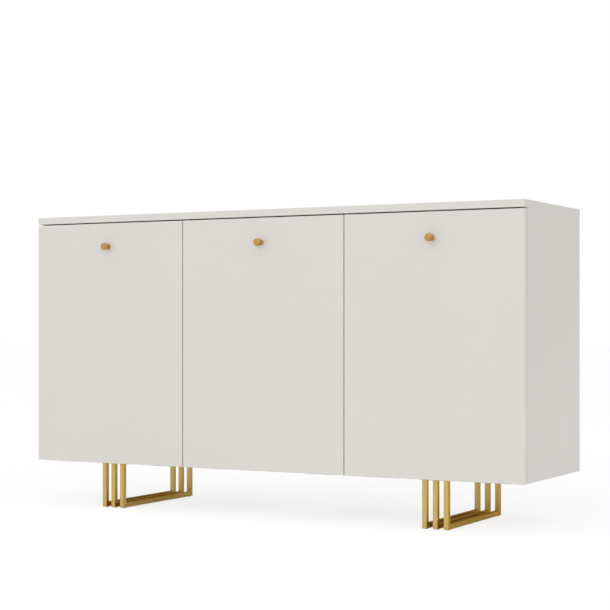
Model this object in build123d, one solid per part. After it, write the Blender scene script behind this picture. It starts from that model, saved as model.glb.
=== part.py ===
"""Sideboard buffet: a lacquered three-bay cabinet with drop-front doors on two groups of sled legs.

All sizes are in millimetres. +Z is up and the front faces -Y. The origin is on the floor, under the
middle of the box that holds the whole sideboard, from the knobs' faces to the back edge.
"""
import math
import os

from build123d import *

# ---------------------------------------------------------------- driving dimensions
WIDTH = 1400.0                  # overall width of the cabinet
BODY_DEPTH = 386.0              # from the doors' front faces to the back edge
BODY_HEIGHT = 656.0             # cabinet without its legs
LEG_HEIGHT = 120.0              # floor to the underside of the cabinet
BOARD = 18.0                    # thickness of every panel, shelf and door
DOOR_GAP = 2.4                  # gap between two neighbouring doors
TOP_GAP = 3.0                   # gap between a door and the top panel
HINGE_GAP = 2.0                 # space between a closed door and the cabinet's front edges
KNOB_PROJECTION = 24.0          # how far a knob stands out from its door
EDGE_EASING = 1.2               # rounding of the lacquered outer edges
GAP_EDGE_EASING = 0.3           # the side panels' front edges stay crisp behind the doors

# ---------------------------------------------------------------- positions worked out from them
HALF_WIDTH = WIDTH / 2
BACK_Y = (BODY_DEPTH + KNOB_PROJECTION) / 2
DOOR_FRONT_Y = BACK_Y - BODY_DEPTH
DOOR_BACK_Y = DOOR_FRONT_Y + BOARD
CARCASS_FRONT_Y = DOOR_BACK_Y + HINGE_GAP
BODY_BOTTOM_Z = LEG_HEIGHT
BODY_TOP_Z = LEG_HEIGHT + BODY_HEIGHT
INSIDE_BOTTOM_Z = BODY_BOTTOM_Z + BOARD
INSIDE_TOP_Z = BODY_TOP_Z - BOARD
INSIDE_HALF_WIDTH = HALF_WIDTH - BOARD
DOOR_WIDTH = (WIDTH - 2 * DOOR_GAP) / 3
DOOR_TOP_Z = INSIDE_TOP_Z - TOP_GAP
PARTITION_X = DOOR_WIDTH / 2 + DOOR_GAP / 2

BAYS = ("left", "middle", "right")
DOOR_X = dict(zip(BAYS, (-(DOOR_WIDTH + DOOR_GAP), 0.0, DOOR_WIDTH + DOOR_GAP)))
BAY_WALLS = {
    "left": (-INSIDE_HALF_WIDTH, -PARTITION_X - BOARD / 2),
    "middle": (-PARTITION_X + BOARD / 2, PARTITION_X - BOARD / 2),
    "right": (PARTITION_X + BOARD / 2, INSIDE_HALF_WIDTH),
}

# back panel, let into a rebate
BACK_THICKNESS = 5.0
REBATE_DEPTH = 7.0
REBATE_WIDTH = 9.0
BACK_CLEARANCE = 1.0
REBATE_Y = BACK_Y - REBATE_DEPTH

# knock-down fittings
CAM_RADIUS = 7.5
CAM_DEPTH = 12.5
CAM_SETBACK = 34.0              # cam centre to the joint
CAM_CHANNEL_RADIUS = 4.0
CAM_BOLT_RADIUS = 3.5
CAM_THREAD_RADIUS = 2.4
CAM_THREAD_LENGTH = 11.0
CAM_Y = (-100.0, 140.0)
DOWEL_RADIUS = 4.0
DOWEL_Y = (-50.0, 90.0)
DOWEL_IN_FACE = 12.0
DOWEL_IN_EDGE = 18.0
FIT = 0.1                       # radial clearance of a fixed fitting in its hole
BLIND_SLACK = 0.5               # spare depth at the bottom of a cam's or dowel's hole
HOLE_BOTTOM_GAP = 1.5           # spare depth behind a shelf pin or a stay stud
OVERRUN = 1.0                   # how far a cutter runs past the face that it cuts
CAM_NOTCH_EASE = 0.2
CAM_SLOT_DEPTH = 2.5
CAM_SLOT_LENGTH = 9.0
CAM_SLOT_WIDTH = 1.6
BOLT_HEAD_START = 1.0           # bolt head from the cam's centre
BOLT_HEAD_RADIUS = 3.2
BOLT_HEAD_LENGTH = 2.0
BOLT_NECK_RADIUS = 2.0
BOLT_NECK_LENGTH = 4.0
BOLT_SHOULDER_GAP = 0.2

# shelves
SHELF_TOP_Z = 458.0
SHELF_FRONT_Y = -150.0
SHELF_BACK_Y = 190.0
SHELF_SIDE_CLEARANCE = 1.0
PIN_RADIUS = 2.5
PEG_RADIUS = 3.0
PEG_LENGTH = 8.0
PIN_COLLAR_RADIUS = 2.8
PIN_Y = (-124.0, 153.0)
PIN_PITCH = 32.0
PIN_HOLES_EACH_WAY = 2
PIN_DEPTH = 8.5
PEG_CENTRE_Z = SHELF_TOP_Z - BOARD - PEG_RADIUS

# leg frames: three square-tube sleds in each group
TUBE = 12.0
TUBE_WALL = 1.2
TUBE_EASING = 1.0
FRAME_PITCH = 28.0
LEG_GROUP_X = 467.0
FRAME_SETBACK = 21.0            # front upright behind the doors' faces
FRAME_FRONT_Y = DOOR_FRONT_Y + FRAME_SETBACK
FRAME_LENGTH = 336.0
FRAME_BACK_Y = FRAME_FRONT_Y + FRAME_LENGTH
FRAME_NAMES = ("inner", "middle", "outer")
PLATE_THICKNESS = 3.0
PLATE_WIDTH = 80.0
PLATE_DEPTH = 60.0
PLATE_CORNER = 3.0
PLATE_BOTTOM_Z = LEG_HEIGHT - PLATE_THICKNESS
PLATE_SCREW_X = 30.0
PLATE_SCREW_INSETS = (24.0, 48.0)
GLIDE_RADIUS = 4.5
GLIDE_HEIGHT = 1.5
GLIDE_STEM_RADIUS = 2.0
GLIDE_STEM_HEIGHT = 5.5
GLIDE_INSET = 12.0

# door hinges, in the gap behind the doors' lower edges
HINGE_Y = DOOR_BACK_Y + HINGE_GAP / 2
HINGE_Z = BODY_BOTTOM_Z
HINGE_OFFSET = 155.0            # hinge centre from the door's centre line
HINGE_LENGTH = 70.0
KNUCKLE_RADIUS = 2.2
HINGE_PIN_RADIUS = 1.2
RUNNING_CLEARANCE = 0.05
LEAF_THICKNESS = 0.9
LEAF_HEIGHT = 16.0
LEAF_ROOT = 1.4                 # where a leaf runs into its own knuckle, above the pin
LEAF_RELIEF = 2.5               # where a leaf stops short of the other leaf's knuckle
KNUCKLE_END_GAP = 0.15
NOTCH_DEPTH = 2.2               # clearance notch behind the knuckles
NOTCH_HEIGHT = 2.8
LEAF_SCREW_OFFSETS = (-24.0, 0.0, 24.0)
LEAF_SCREW_Z = HINGE_Z + 10.5

# stays: a slotted arm pivots on the door and slides over a stud on the bay's wall
STAY_PIVOT_DY = 10.0            # stay pivot from the hinge pin, door closed
STAY_PIVOT_DZ = 190.0
STAY_SPREAD = 35.0              # angle from the pivot to the stud, seen from the hinge pin
OPEN_ANGLE = 90.0
STAY_RADIUS = math.hypot(STAY_PIVOT_DY, STAY_PIVOT_DZ)
PIVOT_Y = HINGE_Y + STAY_PIVOT_DY
PIVOT_Z = HINGE_Z + STAY_PIVOT_DZ
STUD_ANGLE = math.degrees(math.atan2(STAY_PIVOT_DY, STAY_PIVOT_DZ)) + STAY_SPREAD
STUD_Y = HINGE_Y + STAY_RADIUS * math.sin(math.radians(STUD_ANGLE))
STUD_Z = HINGE_Z + STAY_RADIUS * math.cos(math.radians(STUD_ANGLE))
REACH_CLOSED = 2 * STAY_RADIUS * math.sin(math.radians(STAY_SPREAD / 2))
REACH_OPEN = 2 * STAY_RADIUS * math.sin(math.radians((STAY_SPREAD + OPEN_ANGLE) / 2))
ARM_HALF_WIDTH = 8.0
ARM_THICKNESS = 2.0
ARM_STANDOFF = 3.4              # wall to the arm's near face
STUD_RADIUS = 3.2
STUD_CLEARANCE = 0.3
STUD_FLANGE_RADIUS = 8.0
STUD_FLANGE = 3.0
STUD_HEAD_RADIUS = 5.5
STUD_HEAD = 1.5
STUD_THREAD_RADIUS = 2.4
STUD_THREAD = 8.0
STUD_PLAY = 0.4                 # arm to the stud's head
STUD_SOCKET_RADIUS = 2.0
STUD_SOCKET_FLOOR = 0.3
SLOT_START_SPARE = 1.0          # slot length left over with the door closed
SLOT_END_SPARE = 0.5            # slot length left over with the door open
RIVET_RADIUS = 2.5
RIVET_HEAD_RADIUS = 4.5
RIVET_HEAD = 1.0
RIVET_PLAY = 0.4                # arm to the rivet's near head
BRACKET_THICKNESS = 1.6
BRACKET_STANDOFF = 5.8          # wall to the bracket's upright flange
BRACKET_FLANGE_HALF_HEIGHT = 10.0
BRACKET_BASE_HALF_HEIGHT = 20.0
BRACKET_BASE_WIDTH = 24.0
BRACKET_CORNER = 3.0
BRACKET_SCREW_X = 14.4          # screws from the bracket's upright flange
BRACKET_SCREW_Z = 13.0          # screws above and below the pivot

# knobs
KNOB_DROP = 62.0                # knob centre below the door's top edge
KNOB_Z = DOOR_TOP_Z - KNOB_DROP
KNOB_BASE_RADIUS = 7.5
KNOB_BASE_THICKNESS = 2.0
KNOB_NECK_RADIUS = 5.8
KNOB_NECK_START = 6.5
KNOB_HEAD_RADIUS = 9.4
KNOB_HEAD_LENGTH = 8.5
KNOB_FACE_EASING = 1.4
KNOB_UNDERCUT = 1.2             # chamfer behind the head
KNOB_THREAD_RADIUS = 2.0
KNOB_THREAD_DEPTH = 12.0
KNOB_SCREW_HEAD = 4.0
KNOB_SCREW_HEAD_HEIGHT = 2.4
KNOB_SCREW_LENGTH = 28.0

# magnetic catches and their strike plates
CATCH_WIDTH = 34.0
CATCH_EAR_WIDTH = 52.0
CATCH_EAR_THICKNESS = 3.0
CATCH_EAR_INSET = 3.0
CATCH_EAR_CORNER = 3.0
CATCH_HEIGHT = 15.0
CATCH_LENGTH = 16.0
CATCH_CORNER = 1.5
MAGNET_WIDTH = 28.0
MAGNET_HEIGHT = 8.0
MAGNET_LENGTH = 12.0
MAGNET_DROP = 8.0               # magnet centre below the top panel
MAGNET_PROUD = 0.2              # magnet in front of its housing
CATCH_PROUD = 0.7               # housing in front of the cabinet's front edges
CATCH_FACE_Y = CARCASS_FRONT_Y - CATCH_PROUD
STRIKE_THICKNESS = 0.9
STRIKE_WIDTH = 36.0
STRIKE_HEIGHT = 13.0
STRIKE_CORNER = 2.0
STRIKE_TOP_GAP = 1.0            # strike plate below the door's top edge
MAGNET_CENTRE_Z = INSIDE_TOP_Z - MAGNET_DROP
STRIKE_CENTRE_Z = DOOR_TOP_Z - STRIKE_HEIGHT / 2 - STRIKE_TOP_GAP
CATCH_SCREW_X = 21.0

# door bumpers
BUMPER_RADIUS = 3.2
BUMPER_HEIGHT = 1.7
BUMPER_INSET = 4.4
BUMPER_TOP_INSET = 10.0

# driver recesses and crowns of screw heads, as shares of the head's height or the shank's radius
RECESS_DEPTH_SHARE = 0.6
FLAT_RECESS_SHARE = 0.6
PAN_RECESS_SHARE = 0.7
PAN_CROWN_SHARE = 0.6

UP = (0, 0, 1)
DOWN = (0, 0, -1)
FORWARD = (0, -1, 0)
BACKWARD = (0, 1, 0)


# ---------------------------------------------------------------- shapes used by many parts
def block(x_range, y_range, z_range):
    """A rectangular block between pairs of coordinates."""
    centre = [(low + high) / 2 for low, high in (x_range, y_range, z_range)]
    size = [abs(high - low) for low, high in (x_range, y_range, z_range)]
    return Pos(*centre) * Box(*size)


def rod(start, direction, radius, length):
    """A round bar from its start point along a direction."""
    return Plane(origin=start, z_dir=direction) * Cylinder(
        radius, length, align=(Align.CENTER, Align.CENTER, Align.MIN)
    )


def taper(start, direction, radius, end_radius, length):
    """A cone frustum from its start point along a direction."""
    return Plane(origin=start, z_dir=direction) * Cone(
        radius, end_radius, length, align=(Align.CENTER, Align.CENTER, Align.MIN)
    )


def along(point, direction, distance):
    """The point a distance away in a direction."""
    return tuple(p + d * distance for p, d in zip(point, direction))


def flat_head_screw(surface, direction, head_radius, shank_radius, length):
    """A countersunk screw whose head lies flush with a surface."""
    head_height = head_radius - shank_radius
    head = taper(surface, direction, head_radius, shank_radius, head_height)
    shank = rod(along(surface, direction, head_height), direction, shank_radius, length - head_height)
    recess = rod(surface, direction, shank_radius * FLAT_RECESS_SHARE, head_height * RECESS_DEPTH_SHARE)
    return head + shank - recess


def flat_head_hole(surface, direction, head_radius, shank_radius, length):
    """The countersunk hole for a flush screw, a little larger all round."""
    head_height = head_radius - shank_radius
    mouth = taper(surface, direction, head_radius + FIT, shank_radius + FIT, head_height)
    shank = rod(surface, direction, shank_radius + FIT, length + FIT)
    return mouth + shank


def pan_head_screw(surface, direction, head_radius, head_height, shank_radius, length):
    """A pan-head screw: its head stands on a surface, its shank runs into it."""
    outward = tuple(-d for d in direction)
    crown = along(surface, outward, head_height)
    head = rod(surface, outward, head_radius, head_height)
    rim = head.edges().filter_by(GeomType.CIRCLE).sort_by_distance(crown)[0]
    head = fillet(rim, head_height * PAN_CROWN_SHARE)
    shank = rod(surface, direction, shank_radius, length)
    recess = rod(crown, direction, shank_radius * PAN_RECESS_SHARE, head_height * RECESS_DEPTH_SHARE)
    return head + shank - recess


def pilot(surface, direction, radius, length):
    """A plain hole for a screw's shank."""
    return rod(surface, direction, radius + FIT, length + FIT)


# ---------------------------------------------------------------- knock-down joints
def joint_plane(point, into, face):
    """A joint's own frame: local Z into the mating panel, local X out of the cam's panel face."""
    return Plane(origin=point, x_dir=face, z_dir=into)


def cam_sites():
    """Every cam joint, as the plane at the joint line."""
    sites = []
    for y in CAM_Y:
        for side in (-1, 1):
            inward = (-side, 0, 0)
            side_x = side * (HALF_WIDTH - BOARD / 2)
            sites.append(("side", side, joint_plane((side_x, y, INSIDE_TOP_Z), UP, inward)))
            sites.append(("partition", side,
                          joint_plane((side * PARTITION_X, y, INSIDE_TOP_Z), UP, inward)))
            bottom_point = (side * INSIDE_HALF_WIDTH, y, BODY_BOTTOM_Z + BOARD / 2)
            sites.append(("bottom", side, joint_plane(bottom_point, (side, 0, 0), DOWN)))
    return sites


def cam_cutter():
    """The holes of one cam joint: cam pocket, bolt channel and threaded hole."""
    pocket = rod((BOARD / 2 - CAM_DEPTH - BLIND_SLACK, 0, -CAM_SETBACK), (1, 0, 0), CAM_RADIUS,
                 CAM_DEPTH + 2 * BLIND_SLACK)
    channel = rod((0, 0, -CAM_SETBACK), UP, CAM_CHANNEL_RADIUS, CAM_SETBACK)
    thread = rod((0, 0, -OVERRUN), UP, CAM_THREAD_RADIUS + FIT,
                 OVERRUN + CAM_THREAD_LENGTH + BLIND_SLACK)
    return pocket + channel + thread


def cam_lock():
    """A zinc cam: a disc with a notch for the bolt's head and a driver slot in its face."""
    body = rod((BOARD / 2 - CAM_DEPTH, 0, -CAM_SETBACK), (1, 0, 0), CAM_RADIUS - FIT, CAM_DEPTH)
    notch = rod((0, 0, -CAM_SETBACK), UP, CAM_CHANNEL_RADIUS + CAM_NOTCH_EASE, CAM_RADIUS + OVERRUN)
    slot = block((BOARD / 2 - CAM_SLOT_DEPTH, BOARD / 2 + OVERRUN),
                 (-CAM_SLOT_LENGTH / 2, CAM_SLOT_LENGTH / 2),
                 (-CAM_SETBACK - CAM_SLOT_WIDTH / 2, -CAM_SETBACK + CAM_SLOT_WIDTH / 2))
    return body - notch - slot


def cam_bolt():
    """A cam bolt: a necked head, a round shaft and a thread in the mating panel."""
    head_z = -CAM_SETBACK + BOLT_HEAD_START
    neck_z = head_z + BOLT_HEAD_LENGTH
    shaft_z = neck_z + BOLT_NECK_LENGTH
    head = rod((0, 0, head_z), UP, BOLT_HEAD_RADIUS, BOLT_HEAD_LENGTH)
    neck = rod((0, 0, neck_z), UP, BOLT_NECK_RADIUS, BOLT_NECK_LENGTH)
    shaft = rod((0, 0, shaft_z), UP, CAM_BOLT_RADIUS, -BOLT_SHOULDER_GAP - shaft_z)
    thread = rod((0, 0, -BOLT_SHOULDER_GAP), UP, CAM_THREAD_RADIUS,
                 BOLT_SHOULDER_GAP + CAM_THREAD_LENGTH)
    return head + neck + shaft + thread


def dowel_sites():
    """Every dowel: a start point in the panel edge, the direction, and the depth in the edge."""
    sites = []
    for y in DOWEL_Y:
        for side in (-1, 1):
            sites.append(((side * (HALF_WIDTH - BOARD / 2), y, INSIDE_TOP_Z), UP))
            sites.append(((side * PARTITION_X, y, INSIDE_TOP_Z), UP))
            sites.append(((side * PARTITION_X, y, INSIDE_BOTTOM_Z), DOWN))
            sites.append(((side * INSIDE_HALF_WIDTH, y, BODY_BOTTOM_Z + BOARD / 2), (side, 0, 0)))
    return sites


def dowel(joint, into_face, radius, slack):
    """A dowel across a joint, or the hole for one when it is given slack."""
    start = along(joint, into_face, -DOWEL_IN_EDGE - slack)
    return rod(start, into_face, radius, DOWEL_IN_EDGE + DOWEL_IN_FACE + 2 * slack)


CAM_SITES = cam_sites()
DOWEL_SITES = dowel_sites()
DOWEL_HOLES = [dowel(joint, into, DOWEL_RADIUS, BLIND_SLACK) for joint, into in DOWEL_SITES]

PARTITION_SCREW_LENGTH = 50.0
PARTITION_SCREW_HEAD = 5.0
PARTITION_SCREW_SHANK = 2.8
PARTITION_SCREW_SITES = [(side * PARTITION_X, y, BODY_BOTTOM_Z) for side in (-1, 1) for y in CAM_Y]
PARTITION_SCREW_HOLES = [
    flat_head_hole(site, UP, PARTITION_SCREW_HEAD, PARTITION_SCREW_SHANK, PARTITION_SCREW_LENGTH)
    for site in PARTITION_SCREW_SITES
]


def cam_holes(*panels):
    """The cutters of the cam joints that touch the named kinds of panel."""
    cutter = cam_cutter()
    return [plane * cutter for kind, side, plane in CAM_SITES
            if (kind, side) in panels or kind in panels]


# ---------------------------------------------------------------- screws of the fittings
BACK_SCREW_HEAD = 3.2
BACK_SCREW_HEAD_HEIGHT = 1.8
BACK_SCREW_SHANK = 1.6
BACK_SCREW_LENGTH = 13.0
BACK_SCREW_ROWS = 5
BACK_SCREW_END_INSET = 40.0
BACK_SCREW_TOP_XS = (-550.0, -390.0, -110.0, 110.0, 390.0, 550.0)
PLATE_SCREW_HEAD = 4.2
PLATE_SCREW_HEAD_HEIGHT = 2.2
PLATE_SCREW_SHANK = 2.1
PLATE_SCREW_LENGTH = 16.0
SMALL_SCREW_HEAD = 2.9
SMALL_SCREW_SHANK = 1.5
SMALL_SCREW_LENGTH = 13.0
CATCH_SCREW_HEAD_HEIGHT = 1.6


def back_screw_sites():
    """Screws round the back panel's rebate and down both partitions."""
    landing = REBATE_WIDTH / 2
    low_z = INSIDE_BOTTOM_Z + BACK_SCREW_END_INSET
    high_z = INSIDE_TOP_Z - BACK_SCREW_END_INSET
    step = (high_z - low_z) / (BACK_SCREW_ROWS - 1)
    heights = [low_z + step * row for row in range(BACK_SCREW_ROWS)]
    columns = [side * x for x in (INSIDE_HALF_WIDTH + landing, PARTITION_X) for side in (-1, 1)]
    sites = [(x, z) for x in columns for z in heights]
    sites += [(x, z) for x in BACK_SCREW_TOP_XS
              for z in (INSIDE_TOP_Z + landing, INSIDE_BOTTOM_Z - landing)]
    back_face = REBATE_Y + BACK_THICKNESS
    return [(x, back_face, z) for x, z in sites]


def plate_screw_sites():
    """Screws that hold the leg plates to the underside, from below."""
    sites = []
    for side in (-1, 1):
        for x_offset in (-PLATE_SCREW_X, PLATE_SCREW_X):
            for inset in PLATE_SCREW_INSETS:
                x = side * LEG_GROUP_X + x_offset
                sites.append((x, FRAME_FRONT_Y + inset, PLATE_BOTTOM_Z))
                sites.append((x, FRAME_BACK_Y - inset, PLATE_BOTTOM_Z))
    return sites


BACK_SCREW_HOLES = [pilot(site, FORWARD, BACK_SCREW_SHANK, BACK_SCREW_LENGTH)
                    for site in back_screw_sites()]
PLATE_SCREW_HOLES = [pilot(site, UP, PLATE_SCREW_SHANK, PLATE_SCREW_LENGTH)
                     for site in plate_screw_sites()]


# ---------------------------------------------------------------- cabinet panels
def hinge_centres(bay):
    """The X positions of a door's two hinges."""
    return [DOOR_X[bay] + offset for offset in (-HINGE_OFFSET, HINGE_OFFSET)]


def knuckle_notch(x, toward_door):
    """The shallow notch that clears a hinge's knuckles, in the door or in the bottom panel."""
    direction = -1 if toward_door else 1
    near = HINGE_Y + direction * HINGE_GAP / 2
    far = near + direction * NOTCH_DEPTH
    half = HINGE_LENGTH / 2 + OVERRUN
    return block((x - half, x + half), (near - direction * OVERRUN, far),
                 (HINGE_Z - OVERRUN, HINGE_Z + NOTCH_HEIGHT))


def leaf_screw_sites(bay):
    """The X positions of the screws in one leaf of each of a door's hinges."""
    return [x + offset for x in hinge_centres(bay) for offset in LEAF_SCREW_OFFSETS]


def shelf_pin_holes(x_low, x_high):
    """Two columns of shelf-pin holes through a range of X."""
    holes = []
    for y in PIN_Y:
        for step in range(-PIN_HOLES_EACH_WAY, PIN_HOLES_EACH_WAY + 1):
            z = PEG_CENTRE_Z + step * PIN_PITCH
            holes.append(rod((x_low, y, z), (1, 0, 0), PIN_RADIUS, x_high - x_low))
    return holes


def stud_hole(x_low, x_high):
    """The hole for a stay stud through a range of X."""
    return rod((x_low, STUD_Y, STUD_Z), (1, 0, 0), STUD_THREAD_RADIUS + FIT, x_high - x_low)


def make_top_panel():
    """The top covers the sides and the doors, and is rebated for the back panel."""
    panel = block((-HALF_WIDTH, HALF_WIDTH), (DOOR_FRONT_Y, BACK_Y), (INSIDE_TOP_Z, BODY_TOP_Z))
    outer_edges = panel.faces().sort_by(Axis.Z)[-1].edges()
    front_edge = panel.faces().sort_by(Axis.Y)[0].edges().sort_by(Axis.Z)[0]
    panel = fillet([*outer_edges, front_edge], EDGE_EASING)
    rebate_half = INSIDE_HALF_WIDTH + REBATE_WIDTH
    rebate = block((-rebate_half, rebate_half), (REBATE_Y, BACK_Y + OVERRUN),
                   (INSIDE_TOP_Z - OVERRUN, INSIDE_TOP_Z + REBATE_WIDTH))
    return panel - [rebate, *cam_holes("side", "partition"), *DOWEL_HOLES, *BACK_SCREW_HOLES,
                    *catch_screw_holes()]


def make_bottom_panel():
    """The bottom lies between the sides and carries the hinges on its front edge."""
    panel = block((-INSIDE_HALF_WIDTH, INSIDE_HALF_WIDTH), (CARCASS_FRONT_Y, BACK_Y),
                  (BODY_BOTTOM_Z, INSIDE_BOTTOM_Z))
    rebate = block((-HALF_WIDTH, HALF_WIDTH), (REBATE_Y, BACK_Y + OVERRUN),
                   (INSIDE_BOTTOM_Z - REBATE_WIDTH, INSIDE_BOTTOM_Z + OVERRUN))
    notches = [knuckle_notch(x, False) for bay in BAYS for x in hinge_centres(bay)]
    leaf_face = CARCASS_FRONT_Y - LEAF_THICKNESS
    leaf_holes = [flat_head_hole((x, leaf_face, LEAF_SCREW_Z), BACKWARD, SMALL_SCREW_HEAD,
                                 SMALL_SCREW_SHANK, SMALL_SCREW_LENGTH)
                  for bay in BAYS for x in leaf_screw_sites(bay)]
    return panel - [rebate, *notches, *leaf_holes, *cam_holes("bottom"), *DOWEL_HOLES,
                    *PARTITION_SCREW_HOLES, *PLATE_SCREW_HOLES, *BACK_SCREW_HOLES]


def make_side_panel(side):
    """A side panel, from the underside up to the top panel."""
    x_range = (side * INSIDE_HALF_WIDTH, side * HALF_WIDTH)
    panel = block(x_range, (CARCASS_FRONT_Y, BACK_Y), (BODY_BOTTOM_Z, INSIDE_TOP_Z))
    outermost = -1 if side > 0 else 0
    outline = panel.faces().sort_by(Axis.X)[outermost].edges()
    rear_edge = outline.filter_by(Axis.Z).sort_by(Axis.Y)[-1]
    panel = fillet([rear_edge, outline.sort_by(Axis.Z)[0]], EDGE_EASING)
    outline = panel.faces().sort_by(Axis.X)[outermost].edges()
    panel = fillet(outline.filter_by(Axis.Z).sort_by(Axis.Y)[0], GAP_EDGE_EASING)
    rebate = block((side * (INSIDE_HALF_WIDTH - OVERRUN), side * (INSIDE_HALF_WIDTH + REBATE_WIDTH)),
                   (REBATE_Y, BACK_Y + OVERRUN),
                   (INSIDE_BOTTOM_Z - REBATE_WIDTH, INSIDE_TOP_Z + OVERRUN))
    mouth = side * (INSIDE_HALF_WIDTH - OVERRUN)
    pin_reach = sorted((mouth, side * (INSIDE_HALF_WIDTH + PIN_DEPTH + HOLE_BOTTOM_GAP)))
    stud_reach = sorted((mouth, side * (INSIDE_HALF_WIDTH + STUD_THREAD + HOLE_BOTTOM_GAP)))
    return panel - [rebate, *shelf_pin_holes(*pin_reach), stud_hole(*stud_reach),
                    *cam_holes(("side", side), ("bottom", side)), *DOWEL_HOLES, *BACK_SCREW_HOLES]


def make_partition(side):
    """An upright partition, centred behind the gap between two doors."""
    centre = side * PARTITION_X
    panel = block((centre - BOARD / 2, centre + BOARD / 2), (CARCASS_FRONT_Y, REBATE_Y),
                  (INSIDE_BOTTOM_Z, INSIDE_TOP_Z))
    through = (centre - BOARD / 2 - OVERRUN, centre + BOARD / 2 + OVERRUN)
    return panel - [*shelf_pin_holes(*through), stud_hole(*through), *cam_holes(("partition", side)),
                    *DOWEL_HOLES, *PARTITION_SCREW_HOLES, *BACK_SCREW_HOLES]


def make_back_panel():
    """The thin back panel, screwed into the rebate."""
    half = INSIDE_HALF_WIDTH + REBATE_WIDTH - BACK_CLEARANCE
    low_z = INSIDE_BOTTOM_Z - REBATE_WIDTH + BACK_CLEARANCE
    high_z = INSIDE_TOP_Z + REBATE_WIDTH - BACK_CLEARANCE
    panel = block((-half, half), (REBATE_Y, REBATE_Y + BACK_THICKNESS), (low_z, high_z))
    return panel - BACK_SCREW_HOLES


def make_shelf(bay):
    """A loose shelf that rests on four pins."""
    low, high = BAY_WALLS[bay]
    shelf = block((low + SHELF_SIDE_CLEARANCE, high - SHELF_SIDE_CLEARANCE),
                  (SHELF_FRONT_Y, SHELF_BACK_Y), (SHELF_TOP_Z - BOARD, SHELF_TOP_Z))
    front_edges = shelf.faces().sort_by(Axis.Y)[0].edges().filter_by(Axis.X)
    return fillet(front_edges, EDGE_EASING)


def make_shelf_pins():
    """Shelf pins: a stud in the wall, a collar and the peg that the shelf rests on."""
    pins = []
    for bay in BAYS:
        for wall, inward in zip(BAY_WALLS[bay], (1, -1)):
            for y in PIN_Y:
                face = (wall, y, PEG_CENTRE_Z)
                stud = rod(face, (-inward, 0, 0), PIN_RADIUS - FIT, PIN_DEPTH)
                collar = rod(face, (inward, 0, 0), PIN_COLLAR_RADIUS, SHELF_SIDE_CLEARANCE)
                peg = rod(along(face, (inward, 0, 0), SHELF_SIDE_CLEARANCE), (inward, 0, 0),
                          PEG_RADIUS, PEG_LENGTH)
                pins.append(stud + collar + peg)
    return pins


# ---------------------------------------------------------------- legs
def make_leg_frame(x):
    """One sled frame: a mitred U of square tube, hollow and open at its two top ends."""
    z_low = GLIDE_HEIGHT
    outer = block((x - TUBE / 2, x + TUBE / 2), (FRAME_FRONT_Y, FRAME_BACK_Y), (z_low, PLATE_BOTTOM_Z))
    space = block((x - TUBE, x + TUBE), (FRAME_FRONT_Y + TUBE, FRAME_BACK_Y - TUBE),
                  (z_low + TUBE, PLATE_BOTTOM_Z + TUBE))
    frame = outer - space
    long_edges = [edge for edge in frame.edges().filter_by(Axis.X, reverse=True)
                  if edge.center().Z < PLATE_BOTTOM_Z - FIT]
    frame = fillet(long_edges, TUBE_EASING)
    bore_half = TUBE / 2 - TUBE_WALL
    bore = block((x - bore_half, x + bore_half),
                 (FRAME_FRONT_Y + TUBE_WALL, FRAME_BACK_Y - TUBE_WALL),
                 (z_low + TUBE_WALL, PLATE_BOTTOM_Z + TUBE))
    core = block((x - TUBE, x + TUBE),
                 (FRAME_FRONT_Y + TUBE - TUBE_WALL, FRAME_BACK_Y - TUBE + TUBE_WALL),
                 (z_low + TUBE - TUBE_WALL, PLATE_BOTTOM_Z + 2 * TUBE))
    glide_holes = [rod((x, y, z_low - OVERRUN), UP, GLIDE_STEM_RADIUS, TUBE_WALL + 2 * OVERRUN)
                   for y in (FRAME_FRONT_Y + GLIDE_INSET, FRAME_BACK_Y - GLIDE_INSET)]
    return frame - (bore - core) - glide_holes


def make_mounting_plate(side, front):
    """The steel plate that three tube ends are welded to, with four screw holes."""
    if front:
        y_range = (FRAME_FRONT_Y, FRAME_FRONT_Y + PLATE_DEPTH)
    else:
        y_range = (FRAME_BACK_Y - PLATE_DEPTH, FRAME_BACK_Y)
    x = side * LEG_GROUP_X
    plate = block((x - PLATE_WIDTH / 2, x + PLATE_WIDTH / 2), y_range, (PLATE_BOTTOM_Z, LEG_HEIGHT))
    plate = fillet(plate.edges().filter_by(Axis.Z), PLATE_CORNER)
    return plate - PLATE_SCREW_HOLES


def make_glides():
    """Nylon glides pressed into the frames' undersides."""
    glides = []
    for side in (-1, 1):
        for x in leg_frame_positions(side).values():
            for y in (FRAME_FRONT_Y + GLIDE_INSET, FRAME_BACK_Y - GLIDE_INSET):
                pad = rod((x, y, 0), UP, GLIDE_RADIUS, GLIDE_HEIGHT)
                stem = rod((x, y, 0), UP, GLIDE_STEM_RADIUS - FIT, GLIDE_STEM_HEIGHT)
                glides.append(pad + stem)
    return glides


def leg_frame_positions(side):
    """The X of each frame in a group, by name."""
    offsets = (-FRAME_PITCH, 0, FRAME_PITCH)
    return {name: side * (LEG_GROUP_X + offset) for name, offset in zip(FRAME_NAMES, offsets)}


# ---------------------------------------------------------------- hinges
def knuckle_spans(x):
    """The three knuckles of a hinge, from left to right."""
    pitch = HINGE_LENGTH / 3
    left = x - HINGE_LENGTH / 2
    return [(left + pitch * i + KNUCKLE_END_GAP, left + pitch * (i + 1) - KNUCKLE_END_GAP)
            for i in range(3)]


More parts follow.
